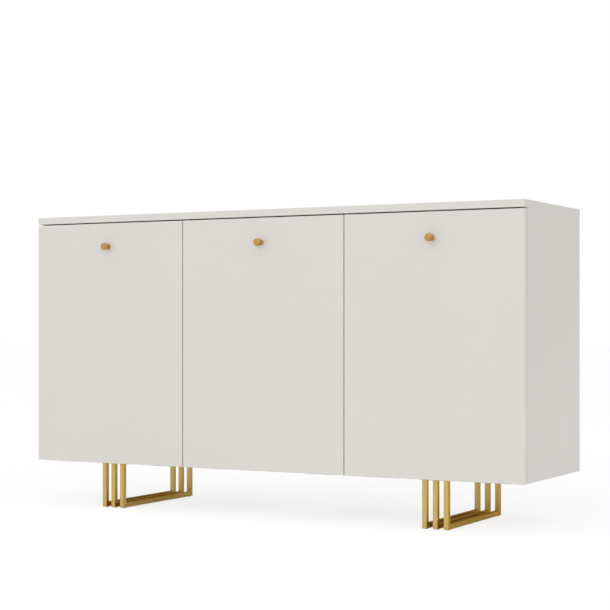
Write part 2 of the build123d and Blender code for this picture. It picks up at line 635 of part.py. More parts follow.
def make_hinge_leaf(x, on_door):
    """One leaf of a butt hinge: the door's has the middle knuckle, the cabinet's the outer two."""
    spans = knuckle_spans(x)
    own = spans[1:2] if on_door else spans[::2]
    if on_door:
        y_range = (DOOR_BACK_Y, DOOR_BACK_Y + LEAF_THICKNESS)
        screw_direction = FORWARD
        screw_y = DOOR_BACK_Y + LEAF_THICKNESS
    else:
        y_range = (CARCASS_FRONT_Y - LEAF_THICKNESS, CARCASS_FRONT_Y)
        screw_direction = BACKWARD
        screw_y = CARCASS_FRONT_Y - LEAF_THICKNESS
    half = HINGE_LENGTH / 2
    leaf = block((x - half, x + half), y_range, (HINGE_Z + LEAF_RELIEF, HINGE_Z + LEAF_HEIGHT))
    for low, high in own:
        leaf += block((low, high), y_range, (HINGE_Z + LEAF_ROOT, HINGE_Z + LEAF_RELIEF + OVERRUN))
        leaf += rod((low, HINGE_Y, HINGE_Z), (1, 0, 0), KNUCKLE_RADIUS, high - low)
    bore = rod((x - half - OVERRUN, HINGE_Y, HINGE_Z), (1, 0, 0),
               HINGE_PIN_RADIUS + RUNNING_CLEARANCE, HINGE_LENGTH + 2 * OVERRUN)
    holes = [flat_head_hole((x + offset, screw_y, LEAF_SCREW_Z), screw_direction, SMALL_SCREW_HEAD,
                            SMALL_SCREW_SHANK, SMALL_SCREW_LENGTH) for offset in LEAF_SCREW_OFFSETS]
    return leaf - [bore, *holes]


def make_hinge_pins():
    """The hinge pins, one through each hinge."""
    return [rod((x - HINGE_LENGTH / 2, HINGE_Y, HINGE_Z), (1, 0, 0), HINGE_PIN_RADIUS, HINGE_LENGTH)
            for bay in BAYS for x in hinge_centres(bay)]


# ---------------------------------------------------------------- stays
def arm_direction():
    """The unit direction of a closed stay arm, from its pivot to the stud."""
    return ((STUD_Y - PIVOT_Y) / REACH_CLOSED, (STUD_Z - PIVOT_Z) / REACH_CLOSED)


def make_stay_arm(wall, inward):
    """A flat steel arm, round at both ends, with a long slot for the stud."""
    run_y, run_z = arm_direction()
    near = min(wall + inward * ARM_STANDOFF, wall + inward * (ARM_STANDOFF + ARM_THICKNESS))
    plane = Plane(origin=(near, PIVOT_Y, PIVOT_Z), x_dir=(0, run_y, run_z), z_dir=(1, 0, 0))
    slot_half_width = STUD_RADIUS + STUD_CLEARANCE
    slot_start = REACH_CLOSED - SLOT_START_SPARE
    slot_end = REACH_OPEN + SLOT_END_SPARE
    outline = SlotCenterToCenter(slot_end, 2 * ARM_HALF_WIDTH)
    arm = extrude(plane * Pos(slot_end / 2, 0) * outline, ARM_THICKNESS)
    slot = SlotCenterToCenter(slot_end - slot_start, 2 * slot_half_width)
    through = ARM_THICKNESS + 2 * OVERRUN
    window = extrude(plane * Pos((slot_start + slot_end) / 2, 0, -OVERRUN) * slot, through)
    hole = rod((near - OVERRUN, PIVOT_Y, PIVOT_Z), (1, 0, 0), RIVET_RADIUS + RUNNING_CLEARANCE,
               through)
    return arm - window - hole


def make_stay_stud(wall, inward):
    """A shoulder stud screwed into the bay's wall."""
    into = (inward, 0, 0)
    face = (wall, STUD_Y, STUD_Z)
    thread = rod(face, (-inward, 0, 0), STUD_THREAD_RADIUS, STUD_THREAD)
    flange = rod(face, into, STUD_FLANGE_RADIUS, STUD_FLANGE)
    shoulder_length = ARM_STANDOFF + ARM_THICKNESS + STUD_PLAY
    shoulder = rod(face, into, STUD_RADIUS, shoulder_length)
    head = rod(along(face, into, shoulder_length), into, STUD_HEAD_RADIUS, STUD_HEAD)
    socket = rod(along(face, into, shoulder_length + STUD_SOCKET_FLOOR), into, STUD_SOCKET_RADIUS,
                 STUD_HEAD)
    return thread + flange + shoulder + head - socket


def bracket_base_x(wall, inward):
    """The X range of a stay bracket's base on the door."""
    start = wall + inward * BRACKET_STANDOFF
    return start, start + inward * BRACKET_BASE_WIDTH


def bracket_screw_sites(wall, inward):
    """The two screws through a stay bracket's base."""
    x = wall + inward * (BRACKET_STANDOFF + BRACKET_SCREW_X)
    y = DOOR_BACK_Y + BRACKET_THICKNESS
    return [(x, y, PIVOT_Z + offset) for offset in (-BRACKET_SCREW_Z, BRACKET_SCREW_Z)]


def make_stay_bracket(wall, inward):
    """An angle bracket on the door's inner face, with a flange for the arm's pivot."""
    start, end = bracket_base_x(wall, inward)
    base = block((start, end), (DOOR_BACK_Y, DOOR_BACK_Y + BRACKET_THICKNESS),
                 (PIVOT_Z - BRACKET_BASE_HALF_HEIGHT, PIVOT_Z + BRACKET_BASE_HALF_HEIGHT))
    base = fillet(base.edges().filter_by(Axis.Y), BRACKET_CORNER)
    flange_x = (start, start + inward * BRACKET_THICKNESS)
    flange = block(flange_x, (DOOR_BACK_Y, PIVOT_Y), (PIVOT_Z - BRACKET_FLANGE_HALF_HEIGHT,
                                                     PIVOT_Z + BRACKET_FLANGE_HALF_HEIGHT))
    nose_start = (min(flange_x), PIVOT_Y, PIVOT_Z)
    nose = rod(nose_start, (1, 0, 0), BRACKET_FLANGE_HALF_HEIGHT, BRACKET_THICKNESS)
    rivet_hole = rod((min(flange_x) - OVERRUN, PIVOT_Y, PIVOT_Z), (1, 0, 0), RIVET_RADIUS + FIT,
                     BRACKET_THICKNESS + 2 * OVERRUN)
    screws = [flat_head_hole(site, FORWARD, SMALL_SCREW_HEAD, SMALL_SCREW_SHANK, SMALL_SCREW_LENGTH)
              for site in bracket_screw_sites(wall, inward)]
    return base + flange + nose - [rivet_hole, *screws]


def make_stay_rivet(wall, inward):
    """The rivet that a stay arm turns on."""
    into = (inward, 0, 0)
    near_face = ARM_STANDOFF - RIVET_HEAD - RIVET_PLAY
    far_face = BRACKET_STANDOFF + BRACKET_THICKNESS
    start = (wall + inward * near_face, PIVOT_Y, PIVOT_Z)
    shank_length = far_face - near_face + RIVET_HEAD
    near_head = rod(start, into, RIVET_HEAD_RADIUS, RIVET_HEAD)
    shank = rod(start, into, RIVET_RADIUS, shank_length)
    far_head = rod((wall + inward * far_face, PIVOT_Y, PIVOT_Z), into, RIVET_HEAD_RADIUS, RIVET_HEAD)
    return near_head + shank + far_head


# ---------------------------------------------------------------- catches
def catch_screw_sites():
    """Two screws per catch, driven up into the top panel."""
    y = CATCH_FACE_Y + CATCH_LENGTH / 2
    z = INSIDE_TOP_Z - CATCH_EAR_THICKNESS
    return [(DOOR_X[bay] + side * CATCH_SCREW_X, y, z) for bay in BAYS for side in (-1, 1)]


def catch_screw_holes():
    """The catches' screw holes in the top panel."""
    return [pilot(site, UP, SMALL_SCREW_SHANK, SMALL_SCREW_LENGTH) for site in catch_screw_sites()]


def magnet_block(bay, slack):
    """The magnet pack of a catch, or its pocket when it is given slack."""
    x = DOOR_X[bay]
    half = MAGNET_WIDTH / 2 + slack
    half_height = MAGNET_HEIGHT / 2 + slack
    front = CATCH_FACE_Y - (MAGNET_PROUD if slack == 0 else OVERRUN)
    return block((x - half, x + half), (front, CATCH_FACE_Y + MAGNET_LENGTH + slack),
                 (MAGNET_CENTRE_Z - half_height, MAGNET_CENTRE_Z + half_height))


def make_catch_housing(bay):
    """A moulded catch body with an open front and two screw ears."""
    x = DOOR_X[bay]
    y_range = (CATCH_FACE_Y, CATCH_FACE_Y + CATCH_LENGTH)
    body = block((x - CATCH_WIDTH / 2, x + CATCH_WIDTH / 2), y_range,
                 (INSIDE_TOP_Z - CATCH_HEIGHT, INSIDE_TOP_Z))
    body = fillet(body.edges().filter_by(Axis.Y).sort_by(Axis.Z)[:2], CATCH_CORNER)
    ears = block((x - CATCH_EAR_WIDTH / 2, x + CATCH_EAR_WIDTH / 2),
                 (y_range[0] + CATCH_EAR_INSET, y_range[1] - CATCH_EAR_INSET),
                 (INSIDE_TOP_Z - CATCH_EAR_THICKNESS, INSIDE_TOP_Z))
    ears = fillet(ears.edges().filter_by(Axis.Z), CATCH_EAR_CORNER)
    return body + ears - [magnet_block(bay, FIT), *catch_screw_holes()]


def strike_screw_site(bay):
    """The screw in the middle of a strike plate."""
    return (DOOR_X[bay], DOOR_BACK_Y + STRIKE_THICKNESS, STRIKE_CENTRE_Z)


def make_strike_plate(bay):
    """The steel plate on the door that the magnet holds."""
    x = DOOR_X[bay]
    plate = block((x - STRIKE_WIDTH / 2, x + STRIKE_WIDTH / 2),
                  (DOOR_BACK_Y, DOOR_BACK_Y + STRIKE_THICKNESS),
                  (STRIKE_CENTRE_Z - STRIKE_HEIGHT / 2, STRIKE_CENTRE_Z + STRIKE_HEIGHT / 2))
    plate = fillet(plate.edges().filter_by(Axis.Y), STRIKE_CORNER)
    return plate - flat_head_hole(strike_screw_site(bay), FORWARD, SMALL_SCREW_HEAD,
                                  SMALL_SCREW_SHANK, SMALL_SCREW_LENGTH)


# ---------------------------------------------------------------- doors
def door_inner_screws(bay):
    """Every flush screw in a door's inner face: hinge leaves, stay brackets and strike plate."""
    leaf_y = DOOR_BACK_Y + LEAF_THICKNESS
    sites = [(x, leaf_y, LEAF_SCREW_Z) for x in leaf_screw_sites(bay)]
    for wall, inward in zip(BAY_WALLS[bay], (1, -1)):
        sites += bracket_screw_sites(wall, inward)
    sites.append(strike_screw_site(bay))
    return sites


def make_door(bay):
    """A flat drop-front door, hinged along its lower edge."""
    x = DOOR_X[bay]
    door = block((x - DOOR_WIDTH / 2, x + DOOR_WIDTH / 2), (DOOR_FRONT_Y, DOOR_BACK_Y),
                 (BODY_BOTTOM_Z, DOOR_TOP_Z))
    front_edges = door.faces().sort_by(Axis.Y)[0].edges()
    door = fillet(front_edges, EDGE_EASING)
    notches = [knuckle_notch(hinge_x, True) for hinge_x in hinge_centres(bay)]
    screws = [flat_head_hole(site, FORWARD, SMALL_SCREW_HEAD, SMALL_SCREW_SHANK, SMALL_SCREW_LENGTH)
              for site in door_inner_screws(bay)]
    knob_hole = rod((x, DOOR_FRONT_Y - OVERRUN, KNOB_Z), BACKWARD, KNOB_THREAD_RADIUS + FIT,
                    BOARD + 2 * OVERRUN)
    return door - [*notches, *screws, knob_hole]


def make_knob(bay):
    """A turned brass knob: a base, a waisted neck and a flat-faced round head."""
    head_start = KNOB_PROJECTION - KNOB_HEAD_LENGTH
    undercut_radius = KNOB_HEAD_RADIUS - KNOB_UNDERCUT
    face_radius = KNOB_HEAD_RADIUS - KNOB_FACE_EASING
    foot_edge = (KNOB_BASE_RADIUS, KNOB_BASE_THICKNESS)
    neck = (KNOB_NECK_RADIUS, KNOB_NECK_START)
    head_back = (undercut_radius, head_start)
    rim_back = (KNOB_HEAD_RADIUS, head_start + KNOB_UNDERCUT)
    rim_front = (KNOB_HEAD_RADIUS, KNOB_PROJECTION - KNOB_FACE_EASING)
    face_edge = (face_radius, KNOB_PROJECTION)
    with BuildSketch(Plane.XY) as profile:
        with BuildLine():
            Polyline((0, 0), (KNOB_BASE_RADIUS, 0), foot_edge)
            Spline(foot_edge, neck, head_back, tangents=((-0.5, 1), (1.2, 1)))
            Polyline(head_back, rim_back, rim_front)
            RadiusArc(rim_front, face_edge, -KNOB_FACE_EASING)
            Polyline(face_edge, (0, KNOB_PROJECTION), (0, 0))
        make_face()
    turned = revolve(profile.sketch, Axis.Y)
    thread = rod((0, -OVERRUN, 0), BACKWARD, KNOB_THREAD_RADIUS, KNOB_THREAD_DEPTH + OVERRUN)
    return Pos(DOOR_X[bay], DOOR_FRONT_Y, KNOB_Z) * Rot(0, 0, 180) * (turned - thread)


def make_door_bumpers():
    """Soft round bumpers on the cabinet's front edges, behind each door's top corners."""
    z = DOOR_TOP_Z - BUMPER_TOP_INSET
    reach = DOOR_WIDTH / 2 - BUMPER_INSET
    return [rod((DOOR_X[bay] + side * reach, CARCASS_FRONT_Y, z), FORWARD, BUMPER_RADIUS, BUMPER_HEIGHT)
            for bay in BAYS for side in (-1, 1)]


def make_door_screws(bay):
    """The door's flush screws and the machine screw that holds its knob."""
    screws = [flat_head_screw(site, FORWARD, SMALL_SCREW_HEAD, SMALL_SCREW_SHANK, SMALL_SCREW_LENGTH)
              for site in door_inner_screws(bay)]
    knob_screw = pan_head_screw((DOOR_X[bay], DOOR_BACK_Y, KNOB_Z), FORWARD, KNOB_SCREW_HEAD,
                                KNOB_SCREW_HEAD_HEIGHT, KNOB_THREAD_RADIUS - FIT, KNOB_SCREW_LENGTH)
    return [*screws, knob_screw]


def make_cabinet_screws():
    """The flush screws of the cabinet's hinge leaves and the catches' pan-head screws."""
    leaf_y = CARCASS_FRONT_Y - LEAF_THICKNESS
    screws = [flat_head_screw((x, leaf_y, LEAF_SCREW_Z), BACKWARD, SMALL_SCREW_HEAD,
                              SMALL_SCREW_SHANK, SMALL_SCREW_LENGTH)
              for bay in BAYS for x in leaf_screw_sites(bay)]
    screws += [pan_head_screw(site, UP, SMALL_SCREW_HEAD, CATCH_SCREW_HEAD_HEIGHT,
                              SMALL_SCREW_SHANK, SMALL_SCREW_LENGTH)
               for site in catch_screw_sites()]
    return screws


# ---------------------------------------------------------------- the whole sideboard
def cabinet_nodes():
    """The fixed cabinet: panels, shelves, joints and fittings."""
    nodes = {
        "top_panel": [make_top_panel()],
        "bottom_panel": [make_bottom_panel()],
        "left_side_panel": [make_side_panel(-1)],
        "right_side_panel": [make_side_panel(1)],
        "left_partition": [make_partition(-1)],
        "right_partition": [make_partition(1)],
        "back_panel": [make_back_panel()],
        "shelf_pins": make_shelf_pins(),
        "cam_locks": [plane * cam_lock() for _, _, plane in CAM_SITES],
        "cam_bolts": [plane * cam_bolt() for _, _, plane in CAM_SITES],
        "dowels": [dowel(joint, into, DOWEL_RADIUS - FIT, 0) for joint, into in DOWEL_SITES],
        "partition_screws": [
            flat_head_screw(site, UP, PARTITION_SCREW_HEAD, PARTITION_SCREW_SHANK,
                            PARTITION_SCREW_LENGTH) for site in PARTITION_SCREW_SITES],
        "back_panel_screws": [
            pan_head_screw(site, FORWARD, BACK_SCREW_HEAD, BACK_SCREW_HEAD_HEIGHT,
                           BACK_SCREW_SHANK, BACK_SCREW_LENGTH) for site in back_screw_sites()],
        "cabinet_hinge_leaves": [make_hinge_leaf(x, False) for bay in BAYS for x in hinge_centres(bay)],
        "hinge_pins": make_hinge_pins(),
        "cabinet_fitting_screws": make_cabinet_screws(),
        "catch_housings": [make_catch_housing(bay) for bay in BAYS],
        "catch_magnets": [magnet_block(bay, 0) for bay in BAYS],
        "door_bumpers": make_door_bumpers(),
        "stay_studs": [make_stay_stud(wall, inward) for bay in BAYS
                       for wall, inward in zip(BAY_WALLS[bay], (1, -1))],
    }
    for bay in BAYS:
        nodes[f"{bay}_shelf"] = [make_shelf(bay)]
    return nodes


def leg_nodes():
    """Two groups of three sled frames, with their plates, screws and glides."""
    nodes = {}
    for side, side_name in ((-1, "left"), (1, "right")):
        for frame_name, x in leg_frame_positions(side).items():
            nodes[f"{side_name}_{frame_name}_leg_frame"] = [make_leg_frame(x)]
        nodes[f"{side_name}_front_leg_plate"] = [make_mounting_plate(side, True)]
        nodes[f"{side_name}_rear_leg_plate"] = [make_mounting_plate(side, False)]
    nodes["leg_plate_screws"] = [
        pan_head_screw(site, UP, PLATE_SCREW_HEAD, PLATE_SCREW_HEAD_HEIGHT, PLATE_SCREW_SHANK,
                       PLATE_SCREW_LENGTH) for site in plate_screw_sites()]
    nodes["foot_glides"] = make_glides()
    return nodes


def door_nodes(bay):
    """One drop-front door with everything that swings with it, and its pair of stay arms."""
    walls = list(zip(BAY_WALLS[bay], (1, -1)))
    return {
        f"{bay}_door": [make_door(bay)],
        f"{bay}_knob": [make_knob(bay)],
        f"{bay}_door_hinge_leaves": [make_hinge_leaf(x, True) for x in hinge_centres(bay)],
        f"{bay}_stay_brackets": [make_stay_bracket(wall, inward) for wall, inward in walls],
        f"{bay}_stay_rivets": [make_stay_rivet(wall, inward) for wall, inward in walls],
        f"{bay}_strike_plate": [make_strike_plate(bay)],
        f"{bay}_door_screws": make_door_screws(bay),
        f"{bay}_stay_arms": [make_stay_arm(wall, inward) for wall, inward in walls],
    }


def main():
    """Writes every node's solids to its own STEP file."""
    os.makedirs("parts", exist_ok=True)
    nodes = {**cabinet_nodes(), **leg_nodes()}
    for bay in BAYS:
        nodes.update(door_nodes(bay))
    for name, shapes in nodes.items():
        solids = [solid for shape in shapes for solid in shape.solids()]
        export_step(Compound(children=solids), f"parts/{name}.step")
        print(name, len(solids))


main()
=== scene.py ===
# %% [markdown]
# A sideboard buffet: a white lacquered cabinet with three drop-front doors, brass knobs and
# square-tube sled legs. The CAD frame already holds every board, hinge and stay at its real size, so
# this lesson adds what CAD leaves plain: turned knobs with soft rims, mitred tube frames with drawn
# edges and, above all, surfaces that look sprayed, plated, turned or moulded.

# %% Load the frame
import math
import bpy
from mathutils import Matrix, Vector


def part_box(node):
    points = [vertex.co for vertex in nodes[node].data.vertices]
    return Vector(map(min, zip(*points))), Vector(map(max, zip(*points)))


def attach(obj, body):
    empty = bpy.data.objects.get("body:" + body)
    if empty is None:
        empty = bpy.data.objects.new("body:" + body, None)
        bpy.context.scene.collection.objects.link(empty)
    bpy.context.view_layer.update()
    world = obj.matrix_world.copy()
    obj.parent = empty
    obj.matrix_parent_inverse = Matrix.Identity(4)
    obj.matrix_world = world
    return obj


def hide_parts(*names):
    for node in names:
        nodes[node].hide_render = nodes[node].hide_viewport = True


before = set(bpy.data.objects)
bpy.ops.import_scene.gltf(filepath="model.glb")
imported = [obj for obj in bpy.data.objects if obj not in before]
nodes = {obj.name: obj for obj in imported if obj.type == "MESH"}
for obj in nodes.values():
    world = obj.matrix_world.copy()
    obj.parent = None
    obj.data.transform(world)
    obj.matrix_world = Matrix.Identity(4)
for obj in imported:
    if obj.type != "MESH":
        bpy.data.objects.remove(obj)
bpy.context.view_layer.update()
MM = 0.001

# %% [markdown]
# The same names come up again and again: three bays, each with its own door, and two leg groups of
# three frames each. A box taken from the frame gives a piece's place, so nothing is measured twice.

# %% Names and places
BAYS = ("left", "middle", "right")
SIDES = ("left", "right")
FRAME_NAMES = ("inner", "middle", "outer")


def centre_of(node_name):
    """The middle of a CAD node's box."""
    low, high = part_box(node_name)
    return (low + high) / 2


door_low, door_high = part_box("middle_door")
print("door size in mm:", [round(v / MM, 1) for v in (door_high - door_low)])

# %% [markdown]
# The camera stands to the right of the cabinet at about half its height and looks level, so the
# uprights stay parallel. A long lens from about four metres keeps the perspective gentle. The small
# upward shift frames the cabinet as a level studio camera would, without tilting it.

# %% Camera
CAMERA_PLACE = Vector((1.996, -3.5935, 0.4924))
CAMERA_TURN = math.radians(28.72)
LENS_MM = 93.1
FULL_FRAME_MM = 36.0
FRAME_SHIFT = 0.0287

camera_data = bpy.data.cameras.new("studio_camera")
camera_data.lens = LENS_MM
camera_data.sensor_width = FULL_FRAME_MM
camera_data.shift_y = FRAME_SHIFT
camera = bpy.data.objects.new("studio_camera", camera_data)
camera.location = CAMERA_PLACE
camera.rotation_euler = (math.radians(90), 0, CAMERA_TURN)
bpy.context.scene.collection.objects.link(camera)
bpy.context.scene.camera = camera

# %% [markdown]
# One function adds a shader node with its settings and links. Every material is then a short list of
# such calls. Colours are written as the sRGB hex values that a paint card gives, and one function
# turns them into the linear numbers that a shader needs.

# %% Helpers for materials
def linear(hex_colour):
    """An sRGB hex colour as linear red, green, blue and alpha."""
    channels = [int(hex_colour[i:i + 2], 16) / 255 for i in (0, 2, 4)]
    return [c / 12.92 if c <= 0.04045 else ((c + 0.055) / 1.055) ** 2.4 for c in channels] + [1.0]


def add(tree, kind, settings=None, inputs=None):
    """Adds one node, sets its properties, and fills or links its sockets."""
    node = tree.nodes.new(kind)
    for key, value in (settings or {}).items():
        setattr(node, key, value)
    for key, value in (inputs or {}).items():
        if isinstance(value, bpy.types.NodeSocket):
            tree.links.new(value, node.inputs[key])
        else:
            node.inputs[key].default_value = value
    return node


def new_material(name):
    """An empty node material, and its tree."""
    material = bpy.data.materials.new(name)
    material.use_nodes = True
    tree = material.node_tree
    tree.nodes.clear()
    return material, tree


def finish_material(tree, shader):
    """Links the shader to the material's output."""
    add(tree, "ShaderNodeOutputMaterial", inputs={"Surface": shader.outputs[0]})


def wear(node_name, material):
    """Gives a CAD node one material all over."""
    slots = nodes[node_name].data.materials
    slots.clear()
    slots.append(material)


print("off-white E0DDD8 is linear", [round(c, 3) for c in linear("E0DDD8")])

# %% [markdown]
# Sprayed lacquer on MDF is what the eye reads as "painted furniture": an even off-white, a satin
# sheen, and a faint orange peel a few millimetres across that only the reflections show. A slow
# cloud of colour, less than two percent from dark to light, keeps a metre of board from looking
# computed, and a finer one breaks up the gloss as dust and wiping do.

# %% Sprayed satin lacquer on MDF
CLOUDS_PER_METRE = 3.0
WIPES_PER_METRE = 22.0
ORANGE_PEEL = 3.2 * MM
ORANGE_PEEL_HEIGHT = 0.06 * MM


def make_lacquer():
    """Off-white satin paint with a faint orange peel."""
    material, tree = new_material("sprayed_satin_lacquer_on_mdf")
    place = add(tree, "ShaderNodeTexCoord").outputs["Object"]
    cloud = add(tree, "ShaderNodeTexNoise", inputs={
        "Vector": place,
        "Scale": CLOUDS_PER_METRE,
        "Detail": 3.0,
    })
    tint = add(tree, "ShaderNodeMix", {"data_type": "RGBA"}, {
        "Factor": cloud.outputs["Fac"],
        "A": linear("DCD8D3"),
        "B": linear("E0DDD8"),
    })
    wipe = add(tree, "ShaderNodeTexNoise", inputs={
        "Vector": place,
        "Scale": WIPES_PER_METRE,
        "Detail": 5.0,
    })
    gloss = add(tree, "ShaderNodeMapRange", inputs={
        "Value": wipe.outputs["Fac"],
        "To Min": 0.34,
        "To Max": 0.44,
    })
    peel = add(tree, "ShaderNodeTexNoise", inputs={
        "Vector": place,
        "Scale": 1 / ORANGE_PEEL,
        "Detail": 1.5,
        "Roughness": 0.35,
    })
    bump = add(tree, "ShaderNodeBump", inputs={
        "Height": peel.outputs["Fac"],
        "Strength": 0.45,
        "Distance": ORANGE_PEEL_HEIGHT,
    })
    shader = add(tree, "ShaderNodeBsdfPrincipled", inputs={
        "Base Color": tint.outputs["Result"],
        "Roughness": gloss.outputs["Result"],
        "IOR": 1.5,
        "Normal": bump.outputs["Normal"],
    })
    finish_material(tree, shader)
    return material


lacquer = make_lacquer()
LACQUERED = ["top_panel", "bottom_panel", "left_side_panel", "right_side_panel",
             "left_partition", "right_partition"]
LACQUERED += [f"{bay}_{part}" for bay in BAYS for part in ("shelf", "door")]
for name in LACQUERED:
    wear(name, lacquer)
print("lacquered boards:", len(LACQUERED))

# %% [markdown]
# The back is thin hardboard: pressed brown fibre behind, a white printed face inside. The two looks
# meet inside the sheet, so one material can choose between them by how far back a point lies. Matted
# fibres a few millimetres long are a noise, drawn out sideways.

# %% White-faced hardboard
FIBRE_LENGTH = 6 * MM
FIBRE_SLENDERNESS = 3.0
FIBRE_HEIGHT = 0.08 * MM


def make_hardboard(face_y):
    """White in front of a plane of the sheet, brown fibre behind it."""
    material, tree = new_material("white_faced_hardboard")
    place = add(tree, "ShaderNodeTexCoord").outputs["Object"]
    depth = add(tree, "ShaderNodeSeparateXYZ", inputs={"Vector": place}).outputs["Y"]
    behind = add(tree, "ShaderNodeMath", {"operation": "GREATER_THAN"}, {0: depth, 1: face_y})
    stretched = add(tree, "ShaderNodeMapping", inputs={
        "Vector": place,
        "Scale": (1.0, 1.0, FIBRE_SLENDERNESS),
    })
    fibre = add(tree, "ShaderNodeTexNoise", inputs={
        "Vector": stretched.outputs["Vector"],
        "Scale": 1 / FIBRE_LENGTH,
        "Detail": 6.0,
        "Roughness": 0.7,
    })
    brown = add(tree, "ShaderNodeValToRGB", inputs={"Fac": fibre.outputs["Fac"]})
    for stop, position, hex_colour in zip(brown.color_ramp.elements, (0.32, 0.70), ("6F4D31", "9A7450")):
        stop.position = position
        stop.color = linear(hex_colour)
    colour = add(tree, "ShaderNodeMix", {"data_type": "RGBA"}, {
        "Factor": behind.outputs[0],
        "A": linear("DEDAD5"),
        "B": brown.outputs["Color"],
    })
    bump = add(tree, "ShaderNodeBump", inputs={
        "Height": fibre.outputs["Fac"],
        "Strength": 0.4,
        "Distance": FIBRE_HEIGHT,
    })
    shader = add(tree, "ShaderNodeBsdfPrincipled", inputs={
        "Base Color": colour.outputs["Result"],
        "Roughness": 0.62,
        "Normal": bump.outputs["Normal"],
    })
    finish_material(tree, shader)
    return material


wear("back_panel", make_hardboard(centre_of("back_panel").y))
print("hardboard back: brown behind, white inside")

# %% [markdown]
# The sled legs are mild steel tube with a satin gold plating. The tube was brushed along its length
# before plating, so the highlight is streaked: a noise stretched fifty times along the tube drives
# the roughness and a hair-fine bump. Real brush marks are finer than half a millimetre, and they are
# drawn that coarse so that they show. The frames run front to back and turn up at both ends, so a
# second pattern, stretched upright, is used where a point lies on an upright.

# %% Satin gold-plated steel tube
BRUSH_MARK = 0.5 * MM
BRUSH_DEPTH = 0.03 * MM
BRUSH_SQUEEZE = 0.02
PLATING_PATCHES_PER_METRE = 35.0


def make_gold_plating(bar_top):
    """Gold plating, brushed along the bar below a height and upright above it."""
    material, tree = new_material("satin_gold_plated_steel")
    place = add(tree, "ShaderNodeTexCoord").outputs["Object"]
    axes = add(tree, "ShaderNodeSeparateXYZ", inputs={"Vector": place})
    upright = add(tree, "ShaderNodeMath", {"operation": "GREATER_THAN"},
                  {0: axes.outputs["Z"], 1: bar_top})
    along_bar, along_upright = (
        add(tree, "ShaderNodeMapping", inputs={"Vector": place, "Scale": scale})
        for scale in ((1.0, BRUSH_SQUEEZE, 1.0), (1.0, 1.0, BRUSH_SQUEEZE))
    )
    grain = add(tree, "ShaderNodeMix", {"data_type": "VECTOR"}, {
        "Factor": upright.outputs[0],
        "A": along_bar.outputs["Vector"],
        "B": along_upright.outputs["Vector"],
    })
    brush = add(tree, "ShaderNodeTexNoise", inputs={
        "Vector": grain.outputs["Result"],
        "Scale": 1 / BRUSH_MARK,
        "Detail": 3.0,
    })
    patch = add(tree, "ShaderNodeTexNoise", inputs={
        "Vector": place,
        "Scale": PLATING_PATCHES_PER_METRE,
        "Detail": 4.0,
    })
    tone = add(tree, "ShaderNodeMix", {"data_type": "RGBA"}, {
        "Factor": patch.outputs["Fac"],
        "A": linear("D1B069"),
        "B": linear("DDBE78"),
    })
    gloss = add(tree, "ShaderNodeMapRange", inputs={
        "Value": brush.outputs["Fac"],
        "To Min": 0.28,
        "To Max": 0.42,
    })
    bump = add(tree, "ShaderNodeBump", inputs={
        "Height": brush.outputs["Fac"],
        "Strength": 0.4,
        "Distance": BRUSH_DEPTH,
    })
    shader = add(tree, "ShaderNodeBsdfPrincipled", inputs={
        "Base Color": tone.outputs["Result"],
        "Metallic": 1.0,
        "Roughness": gloss.outputs["Result"],
        "Specular Tint": linear("E2B86C"),
        "Normal": bump.outputs["Normal"],
    })
    finish_material(tree, shader)
    return material


tube_low, tube_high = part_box("left_outer_leg_frame")
TUBE = tube_high.x - tube_low.x
gold_plating = make_gold_plating(tube_low.z + TUBE)
for side in SIDES:
    for end in ("front", "rear"):
        wear(f"{side}_{end}_leg_plate", gold_plating)
print("tube is", round(TUBE / MM, 1), "mm square")

# %% [markdown]
# Modelling with operators goes by what is selected, so four small helpers come first. One clears the
# selection, one picks faces by place and normal, one cuts a piece with a plane, and one writes a
# piece's place into its mesh, because a pattern on Object coordinates would slide otherwise.

# %% Helpers for modelling
def deselect_all():
    """Leaves edit mode, and leaves nothing selected."""
    if bpy.context.object and bpy.context.object.mode != "OBJECT":
        bpy.ops.object.mode_set(mode="OBJECT")
    bpy.ops.object.select_all(action="DESELECT")


def select_faces(piece, test):
    """Selects, in edit mode, a piece's faces whose middle and normal pass a test, and counts them."""
    bpy.ops.object.mode_set(mode="EDIT")
    bpy.ops.mesh.select_mode(type="FACE")
    bpy.ops.mesh.select_all(action="DESELECT")
    bpy.ops.object.mode_set(mode="OBJECT")
    count = 0
    for face in piece.data.polygons:
        face.select = bool(test(face.center, face.normal))
        count += face.select
    bpy.ops.object.mode_set(mode="EDIT")
    return count


def cut_plane(point, normal):
    """Cuts a whole piece, in edit mode, along a plane."""
    bpy.ops.mesh.select_all(action="SELECT")
    bpy.ops.mesh.bisect(plane_co=point, plane_no=normal)


def settle(piece):
    """Puts a piece's place and size into its mesh and leaves its object at the origin."""
    deselect_all()
    piece.select_set(True)
    bpy.context.view_layer.objects.active = piece
    bpy.ops.object.transform_apply(location=True, rotation=True, scale=True)


print("modelling helpers ready")

# %% [markdown]
# Each sled frame is one length of square tube, mitred at two corners and welded. On the bench it
# would be cut, welded and ground, so it is modelled the same way round: a bar, cut near its ends,
# two uprights pulled up from the cuts, a mitre line at each corner, and every long edge rounded as
# drawn tube is. Weighted normals then keep the flats flat, so that only the rounded edges catch a
# line of light. Bending a curve with a square section would round the corners, which the real one
# does not have.

# %% Model one sled frame
EDGE_ROUND = 1.1 * MM
EDGE_SEGMENTS = 3
SEAM_WIDTH = 0.35 * MM
SHARP_CORNER = math.radians(40)
TUBE_SMOOTHING = math.radians(35)
FACES_UP = 0.9


